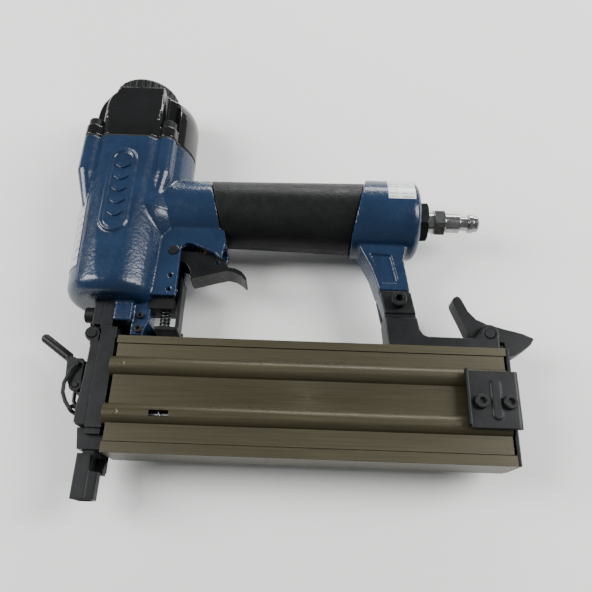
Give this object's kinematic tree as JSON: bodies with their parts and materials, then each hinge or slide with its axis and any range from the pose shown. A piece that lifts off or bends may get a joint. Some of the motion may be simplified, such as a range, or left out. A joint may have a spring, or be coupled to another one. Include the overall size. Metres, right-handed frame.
{
  "type": "pneumatic brad nail gun",
  "caption": "Pneumatic brad nailer: tapered cast barrel with finned-edge exhaust deflector, rubber gripped air handle, long straight nail magazine, hinged nose door and trigger.",
  "frame": {"origin": "middle of the tool's box in X and Y, on the flat side it lies on", "axes": "+X along the handle and magazine towards the air plug, +Y along the barrel towards the cap, +Z out of the right side of the tool"},
  "size_m": [0.2657, 0.249, 0.0518],
  "materials": {
    "blue_paint": "glossy fine hammer-textured blue paint",
    "black_paint": "gloss black paint",
    "black_steel": "dark phosphated steel",
    "bare_steel": "bare machined steel",
    "spring_steel": "oiled spring wire",
    "grip_rubber": "satin black with a fine leather-like grain",
    "black_rubber": "matte black rubber",
    "bronze_anodised": "bronze-olive anodised, lengthwise brushing",
    "alloy": "plain machined alloy",
    "zinc": "zinc plated",
    "chrome": "polished nickel-chrome plate",
    "brass": "turned brass",
    "black_plastic": "satin black plastic"
  },
  "bodies": {
    "tool": {"housing": "blue_paint", "grip": "grip_rubber", "cylinder_sleeve": "alloy", "cylinder_seals": "black_rubber", "bumper": "black_rubber", "head_valve_spring": "spring_steel", "cap_gasket": "black_rubber", "cylinder_cap": "black_paint", "cap_screws": "black_steel", "deflector_screw": "black_steel", "nose_base": "black_steel", "hinge_plate": "black_steel", "hinge_pin": "black_steel", "nose_screws": "black_steel", "neck_screws": "black_steel", "spring_guide": "black_plastic", "safety_spring": "spring_steel", "magazine_rail": "bronze_anodised", "rear_bracket": "black_steel", "leg_screw": "black_steel", "leg_nut": "black_steel", "rail_screw": "black_steel", "catch_pin": "black_steel", "catch_spring": "spring_steel", "trigger_pin": "black_steel", "valve_body": "black_plastic", "valve_seals": "black_rubber", "valve_spring": "spring_steel", "inlet_bushing": "black_steel", "inlet_seal": "black_rubber", "air_plug": "chrome"},
    "deflector": {"exhaust_deflector": "black_plastic"},
    "head_valve_body": {"head_valve": "black_plastic", "head_valve_seat": "black_rubber", "head_valve_seal": "black_rubber"},
    "driver": {"piston": "alloy", "piston_ring": "black_rubber", "driver_blade": "bare_steel"},
    "trigger_body": {"trigger": "black_paint"},
    "stem": {"valve_stem": "brass"},
    "safety": {"safety_shoe": "black_steel", "safety_link": "black_steel", "safety_arm": "black_steel"},
    "magazine": {"magazine_slide": "bronze_anodised", "spring_rods": "bare_steel", "pusher_springs": "spring_steel", "magazine_end_plate": "black_steel", "end_cover": "black_steel", "cover_screws": "black_steel"},
    "pusher_body": {"pusher": "zinc"},
    "catch": {"magazine_catch": "black_steel"},
    "door": {"nose_door": "black_steel", "latch_bracket": "black_steel", "latch_pin": "black_steel"},
    "lever": {"latch_lever": "black_steel", "latch_grip": "black_plastic"},
    "bail": {"latch_bail": "black_steel"}
  },
  "joints": [
    {"name": "driver_stroke", "type": "slide", "parent": "tool", "child": "driver", "axis": [0, -1, 0], "range_m": [0, 0.07]},
    {"name": "head_valve_lift", "type": "slide", "parent": "tool", "child": "head_valve_body", "axis": [0, 1, 0], "range_m": [0, 0.004], "stiffness_N_per_m": 2000, "springref_m": -0.004, "deforming": ["head_valve_spring"]},
    {"name": "trigger_pull", "type": "hinge", "parent": "tool", "child": "trigger_body", "pos_m": [-0.06545, 0.00815, 0.0253], "axis": [0, 0, 1], "range_deg": [0, 10], "stiffness_Nm_per_rad": 0.8, "springref_deg": -20.05},
    {"name": "valve_stem_lift", "type": "slide", "parent": "tool", "child": "stem", "axis": [0, 1, 0], "range_m": [0, 0.0026], "deforming": ["valve_spring"]},
    {"name": "safety_slide", "type": "slide", "parent": "tool", "child": "safety", "axis": [0, 1, 0], "range_m": [0, 0.008], "stiffness_N_per_m": 600, "springref_m": -0.012, "deforming": ["safety_spring"]},
    {"name": "deflector_turn", "type": "hinge", "parent": "tool", "child": "deflector", "pos_m": [-0.09715, 0.11945, 0.0253], "axis": [0, 1, 0], "continuous": true},
    {"name": "magazine_slide_out", "type": "slide", "parent": "tool", "child": "magazine", "axis": [1, 0, 0], "range_m": [0, 0.135]},
    {"name": "pusher_travel", "type": "slide", "parent": "magazine", "child": "pusher_body", "axis": [1, 0, 0], "range_m": [0, 0.12], "stiffness_N_per_m": 40, "springref_m": -0.05, "deforming": ["pusher_springs"]},
    {"name": "catch_turn", "type": "hinge", "parent": "tool", "child": "catch", "pos_m": [0.10775, -0.03405, 0.0253], "axis": [0, 0, 1], "range_deg": [0, 32], "stiffness_Nm_per_rad": 0.3, "springref_deg": -22.92},
    {"name": "door_swing", "type": "hinge", "parent": "tool", "child": "door", "pos_m": [-0.10255, -0.04215, 0.0253], "axis": [0, 0, -1], "range_deg": [0, 45]},
    {"name": "latch_lever_turn", "type": "hinge", "parent": "door", "child": "lever", "pos_m": [-0.10775, -0.06915, 0.0253], "axis": [0, 0, 1], "range_deg": [0, 100]},
    {"name": "latch_bail_turn", "type": "hinge", "parent": "lever", "child": "bail", "pos_m": [-0.10785, -0.05805, 0.0253], "axis": [0, 0, 1], "range_deg": [-70, 0]}
  ],
  "couplings": [
    {"joint": "valve_stem_lift", "follows": "trigger_pull", "m_per_rad": 0.0141},
    {"joint": "latch_bail_turn", "follows": "latch_lever_turn", "ratio": -0.7}
  ]
}
